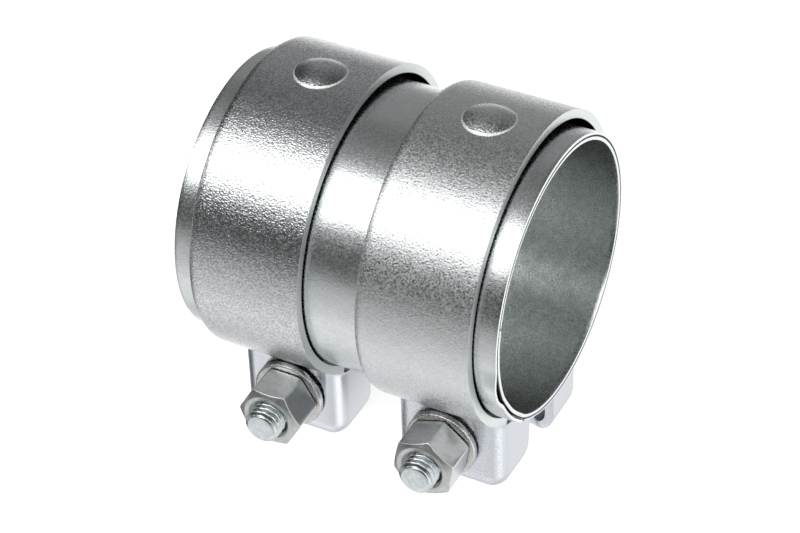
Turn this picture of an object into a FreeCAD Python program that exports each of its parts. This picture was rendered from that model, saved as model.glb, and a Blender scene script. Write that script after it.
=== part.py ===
import FreeCAD, Part
import math
import os

# Sleeve connector for a pipe joint: two rolled sleeves held by two bolted clamp bands.
# Frame: origin at the middle of the pipe bore, +X along the pipe, +Z up and away from the bolts,
# bolts along Y with their threaded ends towards -Y.

# Sleeves, mm
pipe_bore_radius = 29.25
liner_wall = 0.7
sleeve_clearance = 0.15
sleeve_wall = 0.8
sleeve_length = 73.3
liner_seam_angle = 165.0
liner_seam_width = 0.8
sleeve_split_angle = -124.0
sleeve_split_width = 2.2

# Clamp bands, mm and degrees (angles are measured from +Y towards +Z)
band_width = 25.2
band_spacing = 38.2
band_wall = 2.0
band_inner_radius = 31.8
band_centre_y = 0.55
band_centre_z = 0.2
hinge_y = 7.0
hinge_gap = 0.3
dome_radius = 5.5
dome_height = 1.4
dome_dx = 1.0
dome_y = 1.3

# Ears pressed into the band ends, mm
ear_face_y = 18.0
ear_rim_y = 4.6
ear_bottom_z = -48.3
ear_corner_radius = 3.5
ear_inner_radius = 1.5
ear_rim_corner_radius = 4.0
ear_top_clearance = 0.8
ear_root_fillet = 1.5
near_hole_radius = 5.0
far_hole_radius = 4.5

# M8 fasteners, mm
bolt_z = -36.75
bolt_inset = 0.8
bolt_radius = 4.0
bolt_length = 50.0
bolt_tip_chamfer = 0.8
across_flats = 13.0
head_height = 5.3
nut_height = 8.5
nut_bore_radius = 4.05
nut_face_radius = 5.8
nut_chamfer_length = 0.9
nut_countersink_radius = 4.6
nut_countersink_depth = 0.55
head_chamfer_length = 0.75
washer_radius = 8.0
washer_bore_radius = 4.2
washer_thickness = 1.6
washer_edge_chamfer = 0.2
washer_to_ear = 0.45
nut_to_washer = 0.1
left_nut_turn = 0.0
right_nut_turn = 20.0

# Worked-out values
liner_outer_radius = pipe_bore_radius + liner_wall
sleeve_inner_radius = liner_outer_radius + sleeve_clearance
sleeve_outer_radius = sleeve_inner_radius + sleeve_wall
band_outer_radius = band_inner_radius + band_wall
half_length = sleeve_length / 2
half_width = band_width / 2
washer_back_y = -ear_face_y - washer_to_ear
washer_front_y = washer_back_y - washer_thickness
nut_back_y = washer_front_y - nut_to_washer
nut_front_y = nut_back_y - nut_height
bolt_tip_y = ear_face_y - bolt_length
corner_radius = across_flats / math.sqrt(3)

X = FreeCAD.Vector(1, 0, 0)
Y = FreeCAD.Vector(0, 1, 0)
tolerance = 0.01
overlap = 1.0
beyond = 50.0


def vector(x, y, z):
    return FreeCAD.Vector(x, y, z)


def box(x, y, z):
    """A box between pairs of limits along the three axes."""
    size = (x[1] - x[0], y[1] - y[0], z[1] - z[0])
    return Part.makeBox(*size, vector(x[0], y[0], z[0]))


def tube(inner, outer, x, centre_y=0.0, centre_z=0.0):
    """A tube along X between two limits."""
    start = vector(x[0], centre_y, centre_z)
    length = x[1] - x[0]
    return Part.makeCylinder(outer, length, start, X).cut(Part.makeCylinder(inner, length, start, X))


def radial_slot(angle, width, x):
    """A thin slab from the axis outwards, for cutting a seam along a sleeve."""
    slab = box(x, (0, 2 * band_outer_radius), (-width / 2, width / 2))
    slab.rotate(vector(0, 0, 0), X, angle)
    return slab


def make_liner():
    x = (-half_length, half_length)
    ring = tube(pipe_bore_radius, liner_outer_radius, x)
    return ring.cut(radial_slot(liner_seam_angle, liner_seam_width, x))


def make_outer_sleeve():
    x = (-half_length, half_length)
    ring = tube(sleeve_inner_radius, sleeve_outer_radius, x)
    return ring.cut(radial_slot(sleeve_split_angle, sleeve_split_width, x))


def band_cylinder(radius):
    start = vector(-half_width, band_centre_y, band_centre_z)
    return Part.makeCylinder(radius, band_width, start, X)


def edges_where(shape, test):
    """The edges whose two end points both pass a test."""
    return [edge for edge in shape.Edges if all(test(vertex.Point) for vertex in edge.Vertexes)]


def near(a, b):
    return abs(a - b) < tolerance


def make_ear(bolt_dx, hole_radius):
    """A boxed ear on the -Y side: face, two side walls and a bottom lip, open towards +Y."""
    top_z = -band_inner_radius / 2
    block = box((-half_width, half_width), (-ear_face_y, -ear_rim_y), (ear_bottom_z, top_z))

    def is_outer_corner(point):
        sides = near(abs(point.x), half_width)
        return sides and near(point.y, -ear_face_y)

    def is_bottom_side(point):
        return near(abs(point.x), half_width) and near(point.z, ear_bottom_z)

    upright = [e for e in edges_where(block, is_outer_corner) if e.BoundBox.ZLength > overlap]
    front = [e for e in edges_where(block, is_outer_corner) if near(e.BoundBox.ZMax, ear_bottom_z)]
    sides = [e for e in edges_where(block, is_bottom_side) if e.BoundBox.YLength > overlap]
    block = block.makeFillet(ear_corner_radius, upright + front + sides)

    hollow_x = (-half_width + band_wall, half_width - band_wall)
    hollow = box(hollow_x, (-ear_face_y + band_wall, 0), (ear_bottom_z + band_wall, top_z + overlap))
    hollow_edges = [e for e in hollow.Edges if near(e.BoundBox.YMax, -ear_face_y + band_wall)]
    hollow_edges = [e for e in hollow_edges if not near(e.BoundBox.ZMin, top_z + overlap)]
    hollow = hollow.makeFillet(ear_inner_radius, hollow_edges)

    outline = box((-half_width, half_width), (-2 * ear_face_y, -ear_rim_y), (ear_bottom_z, 0))
    rim_corner = [e for e in outline.Edges
                  if near(e.BoundBox.YMin, -ear_rim_y) and near(e.BoundBox.ZMax, ear_bottom_z)]
    outline = outline.makeFillet(ear_rim_corner_radius, rim_corner)

    hole = Part.makeCylinder(hole_radius, 2 * ear_face_y, vector(bolt_dx, -2 * ear_face_y, bolt_z), Y)
    ear = block.cut(hollow).common(outline).cut(hole)
    return ear.cut(band_cylinder(band_inner_radius + ear_top_clearance))


def root_fillet(face_y):
    """Metal in the inside corner where the band turns out into the ear's face at face_y."""
    outwards = math.copysign(1, face_y)
    axis_y = face_y + outwards * ear_root_fillet
    reach = band_outer_radius + ear_root_fillet
    axis_z = band_centre_z - math.sqrt(reach ** 2 - (axis_y - band_centre_y) ** 2)
    half_flat = half_width - ear_corner_radius
    axis = vector(-half_flat, axis_y, axis_z)
    band_axis = vector(-half_flat, band_centre_y, band_centre_z)
    on_face = vector(-half_flat, face_y, axis_z)
    on_band = band_axis + (axis - band_axis) * (band_outer_radius / reach)
    towards_corner = ((on_face - axis) + (on_band - axis)).normalize()
    middle = axis + towards_corner * ear_root_fillet
    inside = vector(-half_flat, face_y - outwards * band_wall / 2, on_band.z)
    edges = [Part.Arc(on_face, middle, on_band).toShape(), Part.LineSegment(on_band, inside).toShape(),
             Part.LineSegment(inside, on_face).toShape()]
    return Part.Face(Part.Wire(edges)).extrude(vector(2 * half_flat, 0, 0))


def make_near_half(bolt_dx):
    """The part of the band on the threaded side, with the dome on top."""
    ring = band_cylinder(band_outer_radius)
    far_side = box((-half_width, half_width), (hinge_y - hinge_gap / 2, beyond), (-beyond, beyond))
    below = box((-half_width, half_width), (-ear_face_y + band_wall, beyond), (-beyond, 0))
    ear = make_ear(bolt_dx, near_hole_radius)
    half = ring.cut(far_side).cut(below).fuse(ear).fuse(root_fillet(-ear_face_y))
    half = half.cut(band_cylinder(band_inner_radius))

    crown_z = band_centre_z + math.sqrt(band_outer_radius ** 2 - (dome_y - band_centre_y) ** 2)
    ball_radius = (dome_radius ** 2 + dome_height ** 2) / (2 * dome_height)
    ball_centre = vector(dome_dx, dome_y, crown_z + dome_height - ball_radius)
    above = Part.makeCylinder(dome_radius, 4 * dome_height, vector(dome_dx, dome_y, crown_z - band_wall))
    dome = Part.makeSphere(ball_radius, ball_centre).common(above)
    hollow = Part.makeSphere(ball_radius - band_wall, ball_centre)
    return half.fuse(dome).cut(hollow).removeSplitter()


def make_far_half(bolt_dx):
    """The part of the band on the bolt-head side."""
    ring = band_cylinder(band_outer_radius)
    near_side = box((-half_width, half_width), (-beyond, hinge_y + hinge_gap / 2), (0, beyond))
    below = box((-half_width, half_width), (-beyond, ear_face_y - band_wall), (-beyond, 0))
    ear = make_ear(bolt_dx, far_hole_radius).mirror(vector(0, 0, 0), Y)
    half = ring.cut(near_side).cut(below).fuse(ear).fuse(root_fillet(ear_face_y))
    return half.cut(band_cylinder(band_inner_radius)).removeSplitter()


def hexagon(y_start, height, first_corner):
    """A hexagonal prism along +Y about the bolt axis."""
    points = []
    for k in range(7):
        angle = math.radians(first_corner + 60 * k)
        points.append(vector(corner_radius * math.cos(angle), y_start,
                             bolt_z + corner_radius * math.sin(angle)))
    return Part.Face(Part.makePolygon(points)).extrude(vector(0, height, 0))


def turned(profile):
    """A solid of revolution about the bolt axis from (y, radius) points."""
    points = [vector(0, y, bolt_z + radius) for y, radius in profile]
    points.append(points[0])
    return Part.Face(Part.makePolygon(points)).revolve(vector(0, 0, bolt_z), Y, 360)


def make_bolt():
    shank = turned([(bolt_tip_y, 0), (bolt_tip_y, bolt_radius - bolt_tip_chamfer),
                    (bolt_tip_y + bolt_tip_chamfer, bolt_radius), (ear_face_y + overlap, bolt_radius),
                    (ear_face_y + overlap, 0)])
    head_end = ear_face_y + head_height
    envelope = turned([(ear_face_y, 0), (ear_face_y, corner_radius),
                       (head_end - head_chamfer_length, corner_radius), (head_end, nut_face_radius),
                       (head_end, 0)])
    head = hexagon(ear_face_y, head_height, 0).common(envelope)
    return shank.fuse(head)


def make_nut(turn):
    envelope = turned([(nut_front_y, 0), (nut_front_y, nut_face_radius),
                       (nut_front_y + nut_chamfer_length, corner_radius),
                       (nut_back_y - nut_chamfer_length / 2, corner_radius),
                       (nut_back_y, across_flats / 2), (nut_back_y, 0)])
    depth = nut_countersink_depth
    bore = turned([(nut_front_y, 0), (nut_front_y, nut_countersink_radius),
                   (nut_front_y + depth, nut_bore_radius), (nut_back_y - depth, nut_bore_radius),
                   (nut_back_y, nut_countersink_radius), (nut_back_y, 0)])
    return hexagon(nut_front_y, nut_height, turn).common(envelope).cut(bore)


def make_washer():
    edge = washer_edge_chamfer
    return turned([(washer_front_y, washer_bore_radius), (washer_front_y, washer_radius - edge),
                   (washer_front_y + edge, washer_radius), (washer_back_y - edge, washer_radius),
                   (washer_back_y, washer_radius - edge), (washer_back_y, washer_bore_radius)])


def at(shape, x):
    moved = shape.copy()
    moved.translate(vector(x, 0, 0))
    return moved


nodes = {"liner": make_liner(), "outer_sleeve": make_outer_sleeve()}
for side, sign, nut_turn in (("left", -1, left_nut_turn), ("right", 1, right_nut_turn)):
    band_x = sign * band_spacing / 2
    inset = -sign * bolt_inset
    nodes[side + "_band_near"] = at(make_near_half(inset), band_x)
    nodes[side + "_band_far"] = at(make_far_half(inset), band_x)
    nodes[side + "_bolt"] = at(make_bolt(), band_x + inset)
    nodes[side + "_washer"] = at(make_washer(), band_x + inset)
    nodes[side + "_nut"] = at(make_nut(nut_turn), band_x + inset)

os.makedirs("parts", exist_ok=True)
for name, shape in nodes.items():
    shape.exportStep("parts/" + name + ".step")
    print(name, shape.isValid(), len(shape.Solids), round(shape.Volume, 1))
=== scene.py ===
import bmesh
import bpy
import math
from mathutils import Matrix, Vector


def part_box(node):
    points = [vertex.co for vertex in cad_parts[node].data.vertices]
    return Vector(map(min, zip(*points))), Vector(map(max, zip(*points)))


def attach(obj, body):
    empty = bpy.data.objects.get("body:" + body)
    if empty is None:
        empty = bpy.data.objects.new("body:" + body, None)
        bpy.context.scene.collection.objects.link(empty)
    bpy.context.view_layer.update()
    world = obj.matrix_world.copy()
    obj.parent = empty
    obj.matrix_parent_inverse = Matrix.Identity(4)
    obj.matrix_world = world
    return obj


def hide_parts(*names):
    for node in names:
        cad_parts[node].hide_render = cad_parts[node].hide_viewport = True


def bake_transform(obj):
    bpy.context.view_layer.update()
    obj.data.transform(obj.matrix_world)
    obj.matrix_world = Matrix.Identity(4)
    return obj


# Looks of the clamped sleeve connector. All lengths below are in mm in the CAD frame:
# +X along the pipe, +Z up and away from the bolts, threaded bolt ends towards -Y.
# Angles are in degrees from +Y towards +Z. Meshes are scaled to metres when they are made.

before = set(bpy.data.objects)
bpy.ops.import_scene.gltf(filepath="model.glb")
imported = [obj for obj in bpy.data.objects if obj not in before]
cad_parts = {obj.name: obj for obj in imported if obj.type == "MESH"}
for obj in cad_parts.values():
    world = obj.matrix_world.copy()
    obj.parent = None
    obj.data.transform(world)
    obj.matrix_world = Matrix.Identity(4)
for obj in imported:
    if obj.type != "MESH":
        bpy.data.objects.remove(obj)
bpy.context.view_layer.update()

MM = 0.001
TURN = 2 * math.pi
X, Y, Z = range(3)


def span(node, axis):
    """Where a CAD node begins and ends along an axis, in mm."""
    low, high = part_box(node)
    return round(low[axis] / MM, 3), round(high[axis] / MM, 3)


def middle(node, axis):
    return sum(span(node, axis)) / 2


# Sleeves. Their mean radii leave room for the unevenness of the sheet.
half_length = span("liner", X)[1]
liner_radius = span("liner", Z)[1] - 0.1
liner_wall = 0.85
liner_seam = 165.0
liner_seam_width = 0.5
sleeve_radius = span("outer_sleeve", Z)[1] - 0.15
sleeve_wall = 0.8
split_angle = 233.8
split_width = 1.2
sheet_edge = 0.16

# Clamp bands
band_x = middle("right_band_near", X)
band_half_width = span("right_band_near", X)[1] - band_x
band_radius = 33.8
band_wall = 2.05
band_edge = 0.4
band_centre_y = 0.55
band_centre_z = 0.2
top_angle = 90.0
edge_drop = (0.36, 0.07)  # the rolled left edge: how far its first two columns of points lie lower

# Pressed dome on each band
dome_x = 1.0
dome_y = 1.3
dome_radius = 5.7
dome_rim = 0.6
dome_rim_height = 0.42
dome_height = 1.6
dome_rings = (6.05, 5.8, 5.7, 5.6, 5.5, 5.4, 5.3, 5.2, 5.1, 5.0, 4.85, 4.5, 3.8, 2.9, 2.0, 1.0)

# Ears. The side walls end in a rear edge, the rim, which faces the other ear.
ear_face_y = 18.0
ear_rim_y = span("right_band_far", Y)[0]
ear_bottom_z = span("right_band_near", Z)[0]
ear_corner = 4.0
least_corner = 0.15
ear_blend = 7.0  # how far above the root the ear's width turns into the ring's
root_radius = 2.2
wall_tuck = 1.3  # how far the top of a side wall runs in under the ring
lean_start_z = -36.0
lean_height = 12.0
near_hole_radius = 5.0
far_hole_radius = 4.5
hole_border = 1.1
near_corners = {"rim_corner": 6.5, "bottom_corner": 4.2}
far_corners = {"rim_corner": 1.2, "bottom_corner": 5.0}
left_ear_reach = 11.6
right_rim_lean = 0.6

# The right band's far ear stands further right. The shift grows along the band below shift_start.
right_far_shift = 1.4
shift_start = 60.0
shift_range = 110.0

# M8 fasteners
bolt_x = middle("right_bolt", X)
bolt_z = middle("right_bolt", Z)
bolt_tip_y, head_end_y = span("right_bolt", Y)
half_flats = span("right_bolt", Z)[1] - bolt_z
worn_corner = 7.42
bolt_radius = 3.97
tip_radius = 3.25
thread_pitch = 1.25
thread_depth = 0.78
thread_end_y = -9.0
nut_front_y, nut_back_y = span("right_nut", Y)
nut_bore = 4.05
right_nut_turn = 20.0
washer_front_y = span("right_washer", Y)[0]
washer_back_y = span("right_washer", Y)[1] - 0.1
washer_radius = 8.0
washer_bore = 4.2


def smooth(t):
    """Eases from 0 to 1 as t goes from 0 to 1."""
    t = min(max(t, 0.0), 1.0)
    return t * t * (3 - 2 * t)


def mix(a, b, t):
    """The value that lies a share t of the way from a to b."""
    return a + (b - a) * t


def on_circle(centre_y, centre_z, radius, degrees):
    angle = math.radians(degrees)
    return centre_y + radius * math.cos(angle), centre_z + radius * math.sin(angle)


def on_band(radius, degrees):
    return on_circle(band_centre_y, band_centre_z, radius, degrees)


def band_angle(point):
    return math.degrees(math.atan2(point.z - band_centre_z, point.y - band_centre_y))


# ---------------------------------------------------------------- mesh tools

class Patchwork:
    """Points and faces of a piece made of several patches that share their borders."""

    def __init__(self):
        self.points = []
        self.faces = []

    def grid(self, rows, closed=False, skip=None):
        """Quads between rows of points. skip stays open: (first row, last row, first column, last column)."""
        start = len(self.points)
        width = len(rows[0])
        for row in rows:
            self.points.extend(point.copy() for point in row)
        for i in range(len(rows) - 1):
            for j in range(width if closed else width - 1):
                if skip and skip[0] <= i < skip[1] and skip[2] <= j < skip[3]:
                    continue
                k = (j + 1) % width
                a = start + i * width
                b = a + width
                self.faces.append((a + j, a + k, b + k, b + j))

    def disc(self, ring, centre):
        """Triangles from a closed ring of points to its centre."""
        start = len(self.points)
        self.points.extend(point.copy() for point in ring)
        self.points.append(centre)
        hub = start + len(ring)
        for j in range(len(ring)):
            self.faces.append((start + j, start + (j + 1) % len(ring), hub))

    def mesh(self, name, outward):
        """The welded mesh. outward is (point, direction): the face nearest to the point faces that way."""
        bm = bmesh.new()
        made = [bm.verts.new(Vector(p) * MM) for p in self.points]
        for face in self.faces:
            bm.faces.new([made[i] for i in face])
        bmesh.ops.remove_doubles(bm, verts=bm.verts, dist=0.004 * MM)
        bmesh.ops.recalc_face_normals(bm, faces=bm.faces)
        bm.normal_update()
        target = Vector(outward[0]) * MM
        nearest = min(bm.faces, key=lambda f: (f.calc_center_median() - target).length)
        if nearest.normal.dot(Vector(outward[1])) < 0:
            bmesh.ops.reverse_faces(bm, faces=bm.faces)
        mesh = bpy.data.meshes.new(name)
        bm.to_mesh(mesh)
        bm.free()
        return mesh


def finished(name, mesh, wall=0.0, edge=0.0, edge_angle=50.0, steps=2):
    """An object with its wall thickness and rounded edges applied to the mesh."""
    thing = bpy.data.objects.new(name, mesh)
    bpy.context.scene.collection.objects.link(thing)
    if wall:
        shell = thing.modifiers.new("wall", "SOLIDIFY")
        shell.thickness = wall * MM
        shell.offset = -1
        shell.use_even_offset = True
    if edge:
        bevel = thing.modifiers.new("edge", "BEVEL")
        bevel.width = edge * MM
        bevel.segments = steps
        bevel.limit_method = "ANGLE"
        bevel.angle_limit = math.radians(edge_angle)
        bevel.harden_normals = False
    graph = bpy.context.evaluated_depsgraph_get()
    final = bpy.data.meshes.new_from_object(thing.evaluated_get(graph))
    thing.modifiers.clear()
    thing.data = final
    final.name = name
    final.shade_smooth()
    final.set_sharp_from_angle(angle=math.radians(42))
    return thing


def coons(top, bottom, left, right):
    """Rows of points that fill the space between four border curves. top and bottom run left to right."""
    rows = []
    for i in range(len(left)):
        v = i / (len(left) - 1)
        row = []
        for j in range(len(top)):
            u = j / (len(top) - 1)
            ruled = top[j] * (1 - v) + bottom[j] * v + left[i] * (1 - u) + right[i] * u
            top_corners = top[0] * (1 - u) + top[-1] * u
            bottom_corners = bottom[0] * (1 - u) + bottom[-1] * u
            row.append(ruled - (top_corners * (1 - v) + bottom_corners * v))
        rows.append(row)
    return rows


# ---------------------------------------------------------------- sleeves

def bump_between(angle, low, high, soft):
    """1 between two angles, easing to 0 over soft degrees outside them."""
    return smooth((angle - low + soft) / soft) * smooth((high + soft - angle) / soft)


def ripple(angle, x, waves, twist):
    """A gentle wave round a sleeve, which turns by twist degrees per mm along it."""
    return math.sin(math.radians(waves * angle + twist * x))


def rolled_sheet(name, radius_at, wall, gap_angle, gap_width, radius):
    """A rolled tube with a straight gap along its length; radius_at gives its outer radius."""
    around = 300
    along = 60
    half_gap = math.degrees(gap_width / 2 / radius)
    rows = []
    for i in range(along + 1):
        x = mix(-half_length, half_length, i / along)
        row = []
        for j in range(around + 1):
            angle = mix(gap_angle + half_gap, gap_angle + 360 - half_gap, j / around)
            y, z = on_circle(0, 0, radius_at(angle % 360, x), angle)
            row.append(Vector((x, y, z)))
        rows.append(row)
    work = Patchwork()
    work.grid(rows)
    mesh = work.mesh(name, ((0, 0, radius), (0, 0, 1)))
    return finished(name, mesh, wall=wall, edge=sheet_edge)


def liner_shape(angle, x):
    """Outer radius of the liner: below its seam the edge stands inward at the +X end."""
    end = smooth((x - 6) / 30)
    tucked = bump_between(angle, low=168, high=228, soft=9 if angle > 200 else 3)
    pulled = bump_between(angle, low=212, high=224, soft=12)
    wave = 0.05 * ripple(angle, x, waves=3, twist=2.2)
    return liner_radius + wave - end * (0.12 * tucked + 0.28 * pulled)


def sleeve_shape(angle, x):
    """Outer radius of the outer sleeve: its end flares just outside the right band's edge."""
    end = smooth((x - 31.6) / 3.2)
    flare = bump_between(angle, low=193.5, high=197, soft=11)
    low_flare = 0.0
    if angle < split_angle:
        low_flare = bump_between(angle, low=232.5, high=split_angle, soft=12)
    tight = smooth((angle - 234) / 2) * smooth((300 - angle) / 40)
    wave = 0.03 * ripple(angle, x, waves=4, twist=1.4) + 0.02 * ripple(angle, x, waves=7, twist=-3)
    between_bands = 1 - smooth((abs(x) - 4) / 6)
    return sleeve_radius + wave * (1 + between_bands) + end * (1.15 * flare + 0.2 * low_flare - 0.22 * tight)


liner = rolled_sheet("liner_shell", liner_shape, liner_wall, liner_seam, liner_seam_width, liner_radius)
outer_sleeve = rolled_sheet(
    "outer_sleeve_shell", sleeve_shape, sleeve_wall, split_angle, split_width, sleeve_radius)


# ---------------------------------------------------------------- clamp bands

CORNER_COLUMNS = 8
FACE_COLUMNS = 20
COLUMNS = FACE_COLUMNS + 2 * CORNER_COLUMNS
RING_ROWS = 96
ROOT_ROWS = 5
FACE_ROWS = 17
BOTTOM_ROWS = 6
WALL_COLUMNS = 9

# The grid left open for the dome, in rows from the top of the band and in columns
NEAR_DOME_ROWS = 7
FAR_DOME_ROWS = 9
DOME_START = CORNER_COLUMNS + 1
DOME_END = COLUMNS - CORNER_COLUMNS + 2


class Ear:
    """One pressed ear, before it is moved to its band. side is -1 near the nuts and 1 at the bolt heads."""

    def __init__(self, side, hole_x, hole_radius, rim_corner, bottom_corner,
                 left=band_half_width, rim_lean=0.0):
        self.side = side
        self.hole_x = hole_x
        self.hole_radius = hole_radius
        self.rim_corner = rim_corner
        self.bottom_corner = bottom_corner
        self.left = left
        self.rim_lean = rim_lean

    def plan(self, column, inset):
        """Where a column stands seen from below, as (x, distance from the middle plane)."""
        radius = max(ear_corner - inset, least_corner)
        left = -self.left + inset + radius
        right = band_half_width - inset - radius
        depth = ear_face_y - inset - radius
        if column <= CORNER_COLUMNS:
            angle = column / CORNER_COLUMNS * math.pi / 2
            return left - radius * math.cos(angle), depth + radius * math.sin(angle)
        if column >= COLUMNS - CORNER_COLUMNS:
            angle = (COLUMNS - column) / CORNER_COLUMNS * math.pi / 2
            return right + radius * math.cos(angle), depth + radius * math.sin(angle)
        t = (column - CORNER_COLUMNS) / FACE_COLUMNS
        return mix(left, right, t), ear_face_y - inset

    def root(self, column):
        """The fillet where the ring turns down into the ear: its centre (y, z) and its ring angle."""
        y = self.side * (self.plan(column, 0)[1] + root_radius)
        drop = math.sqrt((band_radius + root_radius) ** 2 - (y - band_centre_y) ** 2)
        angle = math.degrees(math.atan2(-drop, y - band_centre_y))
        if self.side < 0:
            angle += 360
        return y, band_centre_z - drop, angle

    def ring_point(self, row, column):
        """A point of the half ring; row 0 is the top and RING_ROWS the ear's root."""
        end = self.root(column)[2]
        angle = mix(top_angle, end, row / RING_ROWS)
        left_over = abs(end - angle) * math.radians(band_radius)
        ring_x = mix(-band_half_width, band_half_width, column / COLUMNS)
        share = smooth(left_over / ear_blend)
        x = mix(self.plan(column, 0)[0], ring_x, share)
        drop = edge_drop[column] * share if column < len(edge_drop) else 0.0
        y, z = on_band(band_radius - drop, angle)
        return Vector((x, y, z))

    def column_points(self, column):
        """The points of a column from the root fillet's start to the bottom plate."""
        x, depth = self.plan(column, 0)
        root_y, root_z, end = self.root(column)
        start = end - 180 if self.side < 0 else end + 180
        stop = 0 if self.side < 0 else 180
        points = []
        for i in range(ROOT_ROWS):
            y, z = on_circle(root_y, root_z, root_radius, mix(start, stop, i / ROOT_ROWS))
            points.append(Vector((x, y, z)))
        low = ear_bottom_z + self.bottom_corner
        for i in range(FACE_ROWS):
            points.append(Vector((x, self.side * depth, mix(root_z, low, i / FACE_ROWS))))
        for i in range(BOTTOM_ROWS + 1):
            angle = i / BOTTOM_ROWS * math.pi / 2
            inset = self.bottom_corner * (1 - math.cos(angle))
            x, depth = self.plan(column, inset)
            points.append(Vector((x, self.side * depth, low - self.bottom_corner * math.sin(angle))))
        return points

    def rim_depth(self, z):
        """How far the rear edge of the side walls stands from the middle plane at a height."""
        corner_z = ear_bottom_z + self.rim_corner
        rim = ear_rim_y + self.rim_lean * smooth((lean_start_z - z) / lean_height)
        if z >= corner_z:
            return rim
        return rim + self.rim_corner - math.sqrt(max(self.rim_corner ** 2 - (corner_z - z) ** 2, 0.0))

    def wall(self, column):
        """The side wall that hangs from an end column, as rows of points from the column to the rear edge."""
        left = self.column_points(column)
        start_angle = self.root(column)[2]
        if self.side > 0:
            start_angle += 360
        top_radius = band_radius - wall_tuck
        rear_y = self.side * ear_rim_y
        rear_angle = math.degrees(math.asin((rear_y - band_centre_y) / top_radius)) + 270
        top = []
        for j in range(WALL_COLUMNS + 1):
            t = j / WALL_COLUMNS
            radius = mix(band_radius, top_radius, smooth(t * 1.2))
            y, z = on_band(radius, mix(start_angle, rear_angle, t))
            top.append(Vector((left[0].x, y, z)))
        rim_top = top[-1]
        upper = ROOT_ROWS + FACE_ROWS
        right = []
        for i, point in enumerate(left):
            z = point.z
            if i <= upper:
                z = mix(rim_top.z, left[upper].z, i / upper)
            right.append(Vector((point.x, self.side * self.rim_depth(z), z)))
        right[0] = rim_top
        bottom = [left[-1].lerp(right[-1], j / WALL_COLUMNS) for j in range(WALL_COLUMNS + 1)]
        return coons(top, bottom, left, right)

    def add_to(self, work):
        """Adds the face with its round hole, the two side walls and the bottom plate."""
        columns = [self.column_points(j) for j in range(COLUMNS + 1)]
        rows = [[column[i] for column in columns] for i in range(len(columns[0]))]
        reach = self.hole_radius + hole_border
        first = CORNER_COLUMNS
        last = COLUMNS - CORNER_COLUMNS
        face_row = rows[ROOT_ROWS + 1]
        while face_row[first + 1].x < self.hole_x - reach:
            first += 1
        while face_row[last - 1].x > self.hole_x + reach:
            last -= 1
        high = ROOT_ROWS + 1
        low = ROOT_ROWS + FACE_ROWS - 1
        work.grid(rows, skip=(high, low, first, last))
        border = [rows[high][j] for j in range(first, last)]
        border += [rows[i][last] for i in range(high, low)]
        border += [rows[low][j] for j in range(last, first, -1)]
        border += [rows[i][first] for i in range(low, high, -1)]
        centre = Vector((self.hole_x, border[0].y, bolt_z))
        loops = [border]
        for t in (0.45, 0.8, 1.0):
            loop = []
            for point in border:
                on_edge = centre + (point - centre).normalized() * self.hole_radius
                loop.append(point.lerp(on_edge, t))
            loops.append(loop)
        work.grid(loops, closed=True)
        walls = [self.wall(0), self.wall(COLUMNS)]
        for wall_rows in walls:
            work.grid(wall_rows)
        left_bottom = walls[0][-1]
        right_bottom = walls[1][-1]
        rear = [left_bottom[-1].lerp(right_bottom[-1], j / COLUMNS) for j in range(COLUMNS + 1)]
        work.grid(coons(rows[-1], rear, left_bottom, right_bottom))


def dome_height_at(distance):
    """Height of the pressed dome over the band: a shallow crown with a steeper rounded rim."""
    flat = dome_radius - dome_rim
    if distance >= flat:
        return dome_rim_height * smooth((dome_radius - distance) / dome_rim)
    return dome_height - (dome_height - dome_rim_height) * (distance / flat) ** 2


def add_dome(work, near_ear, far_ear):
    """Rings of points from the opening left in the two half rings to the middle of the dome."""
    border = [near_ear.ring_point(NEAR_DOME_ROWS, j) for j in range(DOME_START, DOME_END)]
    border += [near_ear.ring_point(i, DOME_END) for i in range(NEAR_DOME_ROWS, 0, -1)]
    border += [far_ear.ring_point(i, DOME_END) for i in range(0, FAR_DOME_ROWS)]
    border += [far_ear.ring_point(FAR_DOME_ROWS, j) for j in range(DOME_END, DOME_START, -1)]
    border += [far_ear.ring_point(i, DOME_START) for i in range(FAR_DOME_ROWS, 0, -1)]
    border += [near_ear.ring_point(i, DOME_START) for i in range(0, NEAR_DOME_ROWS)]
    dome_angle = math.degrees(math.acos((dome_y - band_centre_y) / band_radius))

    def over_band(across, along, distance):
        angle = dome_angle - math.degrees(along / band_radius)
        y, z = on_band(band_radius + dome_height_at(distance), angle)
        return Vector((dome_x + across, y, z))

    loops = [border]
    for distance in dome_rings:
        loop = []
        for point in border:
            along = math.radians(dome_angle - band_angle(point)) * band_radius
            heading = math.atan2(along, point.x - dome_x)
            loop.append(over_band(distance * math.cos(heading), distance * math.sin(heading), distance))
        loops.append(loop)
    work.grid(loops, closed=True)
    work.disc(loops[-1], over_band(0, 0, 0))


def clamp_band(name, x, near_ear, far_ear, far_shift=0.0):
    """A clamp band in one sheet, from the near ear over the top to the far ear."""
    work = Patchwork()
    for ear, dome_rows in ((near_ear, NEAR_DOME_ROWS), (far_ear, FAR_DOME_ROWS)):
        rows = [[ear.ring_point(i, j) for j in range(COLUMNS + 1)] for i in range(RING_ROWS + 1)]
        work.grid(rows, skip=(0, dome_rows, DOME_START, DOME_END))
        ear.add_to(work)
    add_dome(work, near_ear, far_ear)
    for point in work.points:
        if point.y > band_centre_y:
            point.x += far_shift * smooth((shift_start - band_angle(point)) / shift_range)
        point.x += x
    beside_dome = (x + 10, band_centre_y, band_centre_z + band_radius)
    mesh = work.mesh(name, (beside_dome, (0, 0, 1)))
    return finished(name, mesh, wall=band_wall, edge=band_edge, steps=3)


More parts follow.
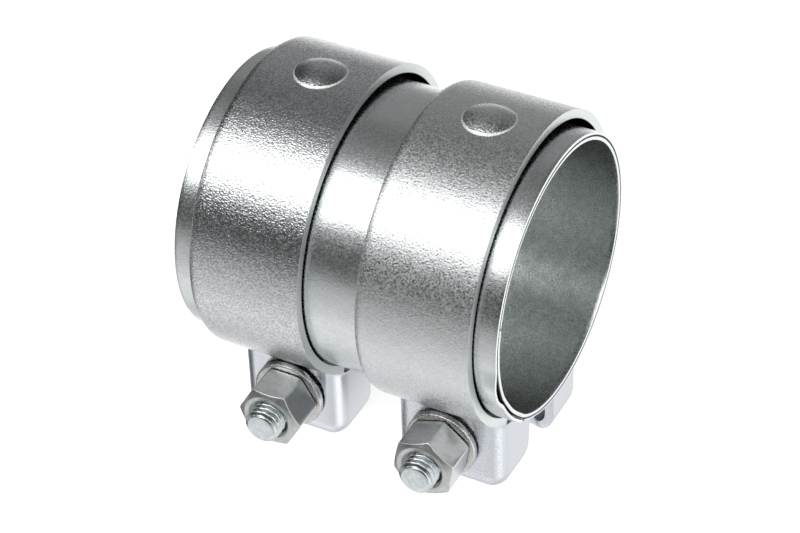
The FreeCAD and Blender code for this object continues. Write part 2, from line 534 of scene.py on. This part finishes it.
left_hole_x = band_x - bolt_x
right_hole_x = bolt_x - band_x
left_band = clamp_band(
    "left_band_strip", -band_x,
    Ear(-1, left_hole_x, near_hole_radius, left=left_ear_reach, **near_corners),
    Ear(1, left_hole_x, far_hole_radius, **far_corners))
right_band = clamp_band(
    "right_band_strip", band_x,
    Ear(-1, right_hole_x, near_hole_radius, rim_lean=right_rim_lean, **near_corners),
    Ear(1, right_hole_x - right_far_shift, far_hole_radius, **far_corners), right_far_shift)


# ---------------------------------------------------------------- fasteners

SEGMENTS = 72


def hexagon_radius(angle, turn):
    """Distance from the axis to a hexagon with slightly worn corners, at an angle in radians."""
    from_flat = (math.degrees(angle) - turn - 30) % 60
    from_flat = min(from_flat, 60 - from_flat)
    return min(half_flats / math.cos(math.radians(from_flat)), worn_corner)


def turned(name, x, rows, outward, edge=0.0, edge_angle=60.0, looped=False):
    """A piece made of rings round the bolt axis. Each row is a function of the angle that gives (y, radius).
    A looped piece closes on itself through its bore, and any other one is closed by a disc at each end."""
    rings = []
    for row in rows:
        ring = []
        for k in range(SEGMENTS):
            angle = k / SEGMENTS * TURN
            y, radius = row(angle)
            ring.append(Vector((x + radius * math.cos(angle), y, bolt_z + radius * math.sin(angle))))
        rings.append(ring)
    work = Patchwork()
    work.grid(rings + ([rings[0]] if looped else []), closed=True)
    if not looped:
        work.disc(rings[0], sum(rings[0], Vector()) / SEGMENTS)
        work.disc(rings[-1], sum(rings[-1], Vector()) / SEGMENTS)
    mesh = work.mesh(name, outward)
    return finished(name, mesh, edge=edge, edge_angle=edge_angle)


def round_rows(*profile):
    """Plain round rows from (y, radius) pairs."""
    return [lambda angle, row=row: row for row in profile]


def hexagon_rows(first_y, last_y, face_radius, first_chamfer, last_chamfer, turn=0.0):
    """Rows of a hexagon's outside from the face at first_y to the one at last_y. The chamfers are slopes."""
    way = math.copysign(1, last_y - first_y)

    def corner(angle, share, face_y, slope, inward):
        full = hexagon_radius(angle, turn)
        radius = mix(face_radius, full, share)
        return face_y + inward * slope * (radius - face_radius), radius

    def first_row(share):
        return lambda angle: corner(angle, share, first_y, first_chamfer, way)

    def last_row(share):
        return lambda angle: corner(angle, share, last_y, last_chamfer, -way)

    def side_row(t):
        def row(angle):
            start_y, radius = first_row(1.0)(angle)
            end_y = last_row(1.0)(angle)[0]
            return mix(start_y, end_y, t), radius
        return row

    shares = (0.0, 0.3, 0.6, 0.85, 1.0)
    rows = [first_row(share) for share in shares]
    rows += [side_row(t) for t in (0.03, 0.15, 0.4, 0.6, 0.85, 0.97)]
    rows += [last_row(share) for share in reversed(shares)]
    return rows


def thread_row(y):
    """A ring of the helical thread, tapered where it starts at the bolt's tip."""
    def row(angle):
        phase = (y / thread_pitch + angle / TURN) % 1.0
        wave = abs(2 * phase - 1)
        depth = min(max((wave - 0.14) / 0.68, 0.0), 1.0)
        run_out = smooth((thread_end_y - y) / thread_pitch)
        radius = bolt_radius - thread_depth * depth * run_out
        return y, min(radius, tip_radius + y - bolt_tip_y)
    return row


def make_bolt(name, x):
    """A bolt with a slightly rounded tip, a cut thread, a plain shank and a head with a shallow dish."""
    rows = round_rows(
        (bolt_tip_y, 1.4), (bolt_tip_y, 2.5), (bolt_tip_y + 0.01, 2.95), (bolt_tip_y + 0.07, 3.16))
    step = thread_pitch / 10
    count = int((thread_end_y - bolt_tip_y) / step)
    rows += [thread_row(bolt_tip_y + i * step) for i in range(2, count)]
    rows += round_rows(*((y, bolt_radius) for y in (thread_end_y + 0.5, 0.0, ear_face_y - 0.4)))
    rows += round_rows((ear_face_y, bolt_radius + 0.33), (ear_face_y, 5.6))
    rows += hexagon_rows(ear_face_y, head_end_y, 6.1, first_chamfer=0.12, last_chamfer=0.5)
    dish_y = head_end_y - 0.12
    rows += round_rows((head_end_y, 5.9), (head_end_y, 4.3), (dish_y, 4.0), (dish_y, 2.0))
    on_head = (x, head_end_y, bolt_z)
    return turned(name, x, rows, (on_head, (0, 1, 0)), edge=0.16, edge_angle=38)


def make_nut(name, x, turn=0.0):
    """A hexagon nut, chamfered on both faces, with a countersunk bore in front."""
    front = nut_front_y
    back = nut_back_y
    bore_end = back - 0.4
    rows = round_rows((front + 1.1, nut_bore), (front + 0.6, 4.35), (front + 0.1, 4.72), (front, 4.82))
    rows += round_rows((front, 5.25), (front, 5.6))
    rows += hexagon_rows(front, back, 5.75, first_chamfer=0.56, last_chamfer=0.2, turn=turn)
    rows += round_rows((back, 5.2), (back, 4.5), (bore_end, nut_bore), (mix(bore_end, front, 0.5), nut_bore))
    on_face = (x + 5.3, front, bolt_z)
    return turned(name, x, rows, (on_face, (0, -1, 0)), edge=0.15, edge_angle=17, looped=True)


def make_washer(name, x):
    """A punched washer: rounded on the front edge, sharp and slightly uneven on the back."""
    front = washer_front_y
    back = washer_back_y
    outer = washer_radius
    rows = round_rows((front + 0.15, washer_bore), (front, washer_bore + 0.15), (front, 6.4))
    rows += round_rows((front + 0.01, outer - 0.55), (front + 0.06, outer - 0.3))
    rows += round_rows((front + 0.17, outer - 0.12), (front + 0.34, outer - 0.03))

    def sheared(y):
        def row(angle):
            wear = 0.025 * math.sin(11 * angle + 2 * y) + 0.015 * math.sin(29 * angle + 5 * y)
            return y, outer - 0.04 + wear
        return row

    rows += [sheared(front + 0.6), sheared(front + 0.9), sheared(front + 1.2)]
    rows += round_rows((back - 0.12, outer - 0.05), (back, outer - 0.17), (back, 6.0))
    rows += round_rows((back, washer_bore + 0.1), (back - 0.1, washer_bore))
    on_face = (x + 6, front, bolt_z)
    return turned(name, x, rows, (on_face, (0, -1, 0)), looped=True)


left_bolt = make_bolt("left_bolt_threaded", -bolt_x)
right_bolt = make_bolt("right_bolt_threaded", bolt_x)
left_nut = make_nut("left_nut_hex", -bolt_x)
right_nut = make_nut("right_nut_hex", bolt_x, turn=right_nut_turn)
left_washer = make_washer("left_washer_ring", -bolt_x)
right_washer = make_washer("right_washer_ring", bolt_x)


# ---------------------------------------------------------------- materials

def rgb(red, green, blue):
    return (red, green, blue, 1.0)


def grey(value):
    return rgb(value, value, value)


class Nodes:
    """Builds a node tree one node at a time. A value is either a constant or the output of another node."""

    def __init__(self, tree):
        self.tree = tree
        tree.nodes.clear()

    def feed(self, socket, value):
        if isinstance(value, bpy.types.NodeSocket):
            self.tree.links.new(value, socket)
        else:
            socket.default_value = value

    def add(self, kind, settings=None, **inputs):
        """A node with its settings. The inputs are named as in Blender, with _ for each space."""
        node = self.tree.nodes.new(kind)
        for key, value in (settings or {}).items():
            setattr(node, key, value)
        for key, value in inputs.items():
            self.feed(node.inputs[key.replace("_", " ")], value)
        return node

    def calculate(self, operation, *values):
        node = self.add("ShaderNodeMath", {"operation": operation})
        for socket, value in zip(node.inputs, values):
            self.feed(socket, value)
        return node.outputs[0]

    def part(self, vector, axis):
        return self.add("ShaderNodeSeparateXYZ", Vector=vector).outputs[axis]

    def noise(self, vector, size, detail=3.0, roughness=0.55):
        """A noise pattern whose features are about size mm across."""
        scale = 1 / (size * MM)
        node = self.add("ShaderNodeTexNoise", Vector=vector, Scale=scale, Detail=detail, Roughness=roughness)
        return node.outputs["Fac"]

    def stretched(self, vector, x, y, z):
        node = self.add("ShaderNodeMapping", Vector=vector, Scale=(x, y, z))
        return node.outputs["Vector"]

    def distance(self, vector, centre, axes):
        """Distance in metres from a centre in mm. axes is 1 for the axes that count and 0 for the others."""
        shift = [-place * MM for place in centre]
        moved = self.add("ShaderNodeMapping", Vector=vector, Location=shift, Scale=axes).outputs["Vector"]
        return self.add("ShaderNodeVectorMath", {"operation": "LENGTH"}, Vector=moved).outputs["Value"]

    def remap(self, value, low, high, to_low=0.0, to_high=1.0):
        node = self.add("ShaderNodeMapRange", Value=value, From_Min=low, From_Max=high)
        self.feed(node.inputs["To Min"], to_low)
        self.feed(node.inputs["To Max"], to_high)
        return node.outputs["Result"]

    def blend(self, factor, a, b, kind="MIX"):
        node = self.add("ShaderNodeMix", {"data_type": "RGBA", "blend_type": kind})
        for index, value in ((0, factor), (6, a), (7, b)):
            self.feed(node.inputs[index], value)
        return node.outputs[2]

    def bump(self, height, depth, strength=1.0, normal=None):
        """Bumps depth mm high. The height pattern runs from 0 to 1."""
        node = self.add("ShaderNodeBump", Height=height, Distance=depth * MM, Strength=strength)
        if normal is not None:
            self.feed(node.inputs["Normal"], normal)
        return node.outputs["Normal"]


# Between these heights the smooth metal of the pressed ears turns into the grained metal of the rings.
ear_metal_z = -31.0
ring_metal_z = -24.0
ear_tone = rgb(0.78, 0.81, 0.86)
# Darker tones painted as shade on faces turned along the pipe: the ears' side walls and cut edges, and the
# rings' cut edges
ear_side_shade_tone = rgb(0.60, 0.62, 0.65)
ring_edge_shade_tone = rgb(0.70, 0.73, 0.73)
cut_roughness = 0.5
ear_grain_share = 0.15

# The painted highlight at the foot of a dome, a white ring: radii over which it starts and ends
dome_highlight_start = (5.25, 5.45)
dome_highlight_end = (5.62, 5.80)
dome_highlight_roughness = 0.6


def dome_rim_highlight(nodes, place, height, dome_at):
    """1 on the painted highlight ring round the dome whose middle is at dome_at in X, and 0 elsewhere."""
    from_dome = nodes.distance(place, (dome_at, dome_y, 0), (1, 1, 0))
    started = nodes.remap(from_dome, dome_highlight_start[0] * MM, dome_highlight_start[1] * MM)
    going_on = nodes.remap(from_dome, dome_highlight_end[0] * MM, dome_highlight_end[1] * MM, 1.0, 0.0)
    ring = nodes.blend(started, grey(0), going_on)
    on_top = nodes.remap(height, 30 * MM, 31 * MM)
    return nodes.blend(on_top, grey(0), ring)


def zinc(name, light, dark, rough, grain, dents=0.02, streaks=0.004, pits=0.0, flake=0.0,
         gap=None, gap_centre=(0, 0), dome_at=None):
    """Zinc-plated steel. light and dark are the two tones of the plating and rough is its range of roughness.
    grain, dents and streaks are the heights in mm of its fine grain, soft unevenness and rolling marks.
    pits and flake say how much small spots and crystal grains darken it. Between the two radii in gap,
    counted from gap_centre (y, z), the tone is painted near black: painted shade inside a narrow joint. Every
    face turned along the pipe gets a darker tone, painted shade on the cut edges and the ears' side walls.
    dome_at
    is only for the bands: it gives the X of the dome, and adds the smooth ears, the matt cut edges and a
    painted highlight, a white ring round the dome's foot."""
    material = bpy.data.materials.new(name)
    material.use_nodes = True
    nodes = Nodes(material.node_tree)
    place = nodes.add("ShaderNodeTexCoord").outputs["Object"]
    height = nodes.part(place, "Z")
    rolled = nodes.remap(height, ear_metal_z * MM, ring_metal_z * MM)
    facing = nodes.part(nodes.add("ShaderNodeTexCoord").outputs["Normal"], "X")
    # Faces turned along the pipe: on the bands their higher roughness is the matt cut edge, and their darker
    # tone below is painted shade
    cut = nodes.remap(nodes.calculate("ABSOLUTE", facing), 0.80, 0.97)

    broad = nodes.noise(place, 9.0)
    mottle = nodes.noise(place, 1.6, detail=4.0, roughness=0.6)
    flakes = nodes.noise(place, 0.42, detail=2.0, roughness=0.7)
    tone = nodes.blend(nodes.remap(mottle, 0.34, 0.66), dark, light)
    tone = nodes.blend(nodes.remap(broad, 0.42, 0.62, 0.0, 0.35), tone, light)
    if pits:
        spots = nodes.noise(place, 0.9, detail=2.0, roughness=0.5)
        tone = nodes.blend(nodes.remap(spots, 0.68, 0.76, 0.0, pits), tone, grey(0.16))
    tone = nodes.blend(nodes.remap(flakes, 0.40, 0.58, flake, 0.0), tone, grey(0.30))
    roughness = nodes.remap(flakes, 0.38, 0.62, *rough)
    grain_share = 1.0
    if dome_at is not None:
        # ring is the painted highlight: a white ring round the foot of the dome
        ring = dome_rim_highlight(nodes, place, height, dome_at)
        tone = nodes.blend(ring, nodes.blend(rolled, ear_tone, tone), grey(1.0))
        roughness = nodes.blend(cut, roughness, grey(cut_roughness))
        roughness = nodes.blend(ring, roughness, grey(dome_highlight_roughness))
        grain_share = nodes.remap(height, ear_metal_z * MM, ring_metal_z * MM, ear_grain_share, 1.0)
    # Painted shade: every face turned along the pipe, the ears' side walls too, gets a darker tone
    tone = nodes.blend(cut, tone, nodes.blend(rolled, ear_side_shade_tone, ring_edge_shade_tone))
    # Painted shade: the tone turns near black inside the narrow joint between the layers
    if gap:
        from_middle = nodes.distance(place, (0, *gap_centre), (0, 1, 1))
        tone = nodes.blend(nodes.remap(from_middle, gap[0] * MM, gap[1] * MM), tone, grey(0.03))

    soft = nodes.noise(place, 3.2, detail=1.5, roughness=0.4)
    lines = nodes.noise(nodes.stretched(place, 1.0, 14.0, 14.0), 5.0, roughness=0.6)
    fine = nodes.noise(place, 0.36, detail=1.5, roughness=0.6)
    normal = nodes.bump(soft, dents)
    normal = nodes.bump(lines, streaks, normal=normal)
    normal = nodes.bump(fine, grain, strength=grain_share, normal=normal)
    shader = nodes.add(
        "ShaderNodeBsdfPrincipled", Base_Color=tone, Metallic=1.0, Roughness=roughness, Normal=normal)
    nodes.add("ShaderNodeOutputMaterial", Surface=shader.outputs["BSDF"])
    return material


# Radii between which the tone is painted near black as shade inside the joints: under the bands here, in the
# sleeve and liner below
band_gap_shade = (31.92, 31.76)
band_centre = (band_centre_y, band_centre_z)
right_band_zinc = zinc(
    "zinc_band", light=rgb(0.87, 0.89, 0.90), dark=rgb(0.79, 0.81, 0.82), rough=(0.18, 0.44),
    grain=0.095, pits=0.05, flake=0.34, gap=band_gap_shade, gap_centre=band_centre, dome_at=dome_x + band_x)
left_band_zinc = zinc(
    "zinc_band_smooth", light=rgb(0.82, 0.84, 0.86), dark=rgb(0.72, 0.74, 0.76), rough=(0.05, 0.22),
    grain=0.10, pits=0.08, flake=0.60, gap=band_gap_shade, gap_centre=band_centre, dome_at=dome_x - band_x)
sleeve_zinc = zinc(
    "zinc_sleeve", light=rgb(0.79, 0.82, 0.825), dark=rgb(0.70, 0.73, 0.735), rough=(0.16, 0.32),
    grain=0.035, flake=0.10, gap=(30.14, 30.06))
liner_zinc = zinc(
    "zinc_liner", light=rgb(0.82, 0.85, 0.84), dark=rgb(0.68, 0.70, 0.69), rough=(0.17, 0.34),
    grain=0.02, dents=0.05, flake=0.05, gap=(29.62, 29.72))
nut_zinc = zinc(
    "zinc_nut", light=rgb(0.74, 0.76, 0.75), dark=rgb(0.58, 0.59, 0.57), rough=(0.28, 0.42),
    grain=0.012, dents=0.03, streaks=0.002, flake=0.10)
washer_zinc = zinc(
    "zinc_washer", light=rgb(0.76, 0.76, 0.75), dark=rgb(0.58, 0.58, 0.57), rough=(0.16, 0.36),
    grain=0.05, dents=0.01, streaks=0.002, pits=0.5, flake=0.3)
bolt_zinc = zinc(
    "zinc_bolt", light=rgb(0.80, 0.84, 0.86), dark=rgb(0.62, 0.67, 0.69), rough=(0.14, 0.26),
    grain=0.008, streaks=0.002)


# ---------------------------------------------------------------- joining the frame


def dress(piece, material, slot, body, *nodes):
    """Gives a piece its material, its body unless it is blended, and hides the CAD nodes it stands for. slot
    is not used.
    """
    piece.data.materials.clear()
    piece.data.materials.append(material)
    if body:
        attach(piece, body)
    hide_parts(*nodes)


dress(liner, liner_zinc, "liner", "sleeves_and_near_bands", "liner")
dress(outer_sleeve, sleeve_zinc, "sleeve", "sleeves_and_near_bands", "outer_sleeve")
for side, band, bolt, nut, washer, metal in (
    ("left", left_band, left_bolt, left_nut, left_washer, left_band_zinc),
    ("right", right_band, right_bolt, right_nut, right_washer, right_band_zinc),
):
    dress(band, metal, "band", None, side + "_band_near", side + "_band_far")
    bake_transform(band)
    dress(bolt, bolt_zinc, "bolt", side + "_far_band", side + "_bolt")
    dress(washer, washer_zinc, "washer", side + "_washer", side + "_washer")
    dress(nut, nut_zinc, "nut", side + "_nut", side + "_nut")


# ---------------------------------------------------------------- floor

floor_half_size = 4.0
floor_glow = 0.76

floor_mesh = bpy.data.meshes.new("floor")
floor_bm = bmesh.new()
bmesh.ops.create_grid(floor_bm, x_segments=24, y_segments=24, size=floor_half_size)
floor_bm.to_mesh(floor_mesh)
floor_bm.free()
floor = bpy.data.objects.new("floor", floor_mesh)
bpy.context.scene.collection.objects.link(floor)
floor.location = (0, 0, (ear_bottom_z - 0.02) * MM)
floor.visible_glossy = False
floor_material = bpy.data.materials.new("floor_white")
floor_material.use_nodes = True
floor_nodes = Nodes(floor_material.node_tree)
floor_place = floor_nodes.add("ShaderNodeTexCoord").outputs["Object"]
floor_tone = floor_nodes.remap(floor_nodes.noise(floor_place, 60.0), 0.3, 0.7, 0.86, 0.9)
floor_shader = floor_nodes.add(
    "ShaderNodeBsdfPrincipled", Base_Color=floor_tone, Roughness=0.9,
    Emission_Color=grey(1.0), Emission_Strength=floor_glow)
floor_nodes.add("ShaderNodeOutputMaterial", Surface=floor_shader.outputs["BSDF"])
floor_mesh.materials.append(floor_material)


# ---------------------------------------------------------------- studio light

# The studio as a ring of tones round the X axis, in degrees from +Y towards +Z: grey ceiling, one long
# softbox high in front, a dark room behind the camera and a bright table below it.
studio = (
    (0, 0.33), (16, 0.28), (46, 0.27), (66, 0.15), (86, 0.22), (98, 0.30), (109, 0.75), (115, 2.6),
    (130, 4.2), (142, 2.6), (147, 0.9), (155, 0.16), (166, 0.10), (184, 0.11), (193, 0.40), (200, 0.58),
    (216, 0.68), (236, 1.0), (250, 0.92), (276, 0.66), (292, 0.95), (318, 1.45), (344, 1.3), (353, 0.55),
    (360, 0.33),
)
# What those tones are multiplied by from the -X side (-1) to the +X side (1), over the ceiling and over the
# table: a dark strip on the left with more light past it, and brighter again at the far right.
ceiling_sides = (
    (-1, 0.3), (-0.86, 0.6), (-0.77, 0.08), (-0.55, 1), (-0.25, 1), (0.05, 0.55), (0.4, 0.5), (0.72, 0.4),
    (0.85, 1.2), (1, 2),
)
table_sides = (
    (-1, 0.3), (-0.86, 0.6), (-0.77, 0.12), (-0.55, 1), (0, 1), (0.2, 0.92), (0.35, 0.88), (0.5, 1.05),
    (0.65, 1.3), (1, 1.6),
)
# An even bright wall closes the room at the +X end.
end_wall = (0.76, 0.92)
end_wall_tone = 1.3


def tone_ramp(sky, value, tones):
    """A ramp of greys; tones is a list of (place from 0 to 1, grey)."""
    ramp = sky.add("ShaderNodeValToRGB", Fac=value)
    stops = ramp.color_ramp.elements
    stops[0].position = 0.0
    stops[1].position = 1.0
    for place, tone in tones[1:-1]:
        stops.new(place)
    for stop, (place, tone) in zip(stops, tones):
        stop.color = grey(tone)
    return ramp.outputs["Color"]


world = bpy.data.worlds.new("studio")
bpy.context.scene.world = world
world.use_nodes = True
sky = Nodes(world.node_tree)
direction = sky.add("ShaderNodeTexCoord").outputs["Generated"]
across_x = sky.part(direction, "X")
towards_y = sky.part(direction, "Y")
upward_z = sky.part(direction, "Z")
turns = sky.calculate("DIVIDE", sky.calculate("ARCTAN2", upward_z, towards_y), TURN)
brightest = max(tone for degrees, tone in studio)
studio_stops = [(degrees / 360, tone / brightest) for degrees, tone in studio]
around = tone_ramp(sky, sky.calculate("FRACT", turns), studio_stops)
along = sky.remap(across_x, -1.0, 1.0)
above = tone_ramp(sky, along, [((place + 1) / 2, tone) for place, tone in ceiling_sides])
below = tone_ramp(sky, along, [((place + 1) / 2, tone) for place, tone in table_sides])
sides = sky.blend(sky.remap(upward_z, -0.15, 0.15), below, above)
room = sky.blend(1.0, around, sides, kind="MULTIPLY")
walled = sky.blend(sky.remap(across_x, *end_wall), room, grey(end_wall_tone / brightest))
backdrop = sky.add("ShaderNodeBackground", Color=walled, Strength=brightest)
paper = sky.add("ShaderNodeBackground", Color=grey(1.0), Strength=1.0)
seen = sky.add("ShaderNodeLightPath").outputs["Is Camera Ray"]
either = sky.add("ShaderNodeMixShader", Fac=seen)
sky.feed(either.inputs[1], backdrop.outputs[0])
sky.feed(either.inputs[2], paper.outputs[0])
sky.add("ShaderNodeOutputWorld", Surface=either.outputs[0])


# ---------------------------------------------------------------- camera

camera_place = Vector((0.2154, -0.3962, 0.3521))
camera_heading = 28.604  # degrees round Z from straight in front
camera_tilt = 51.266  # degrees from looking straight down
camera_roll = -2.062
camera_data = bpy.data.cameras.new("camera")
camera_data.sensor_width = 36
camera_data.lens = 123.39
camera_data.clip_start = 0.01
camera_data.clip_end = 20
camera = bpy.data.objects.new("camera", camera_data)
bpy.context.scene.collection.objects.link(camera)
placement = Matrix.Translation(camera_place)
for degrees, axis in ((camera_heading, "Z"), (camera_tilt, "X"), (camera_roll, "Z")):
    placement = placement @ Matrix.Rotation(math.radians(degrees), 4, axis)
camera.matrix_world = placement
bpy.context.scene.camera = camera
bpy.context.scene.view_settings.view_transform = "Standard"
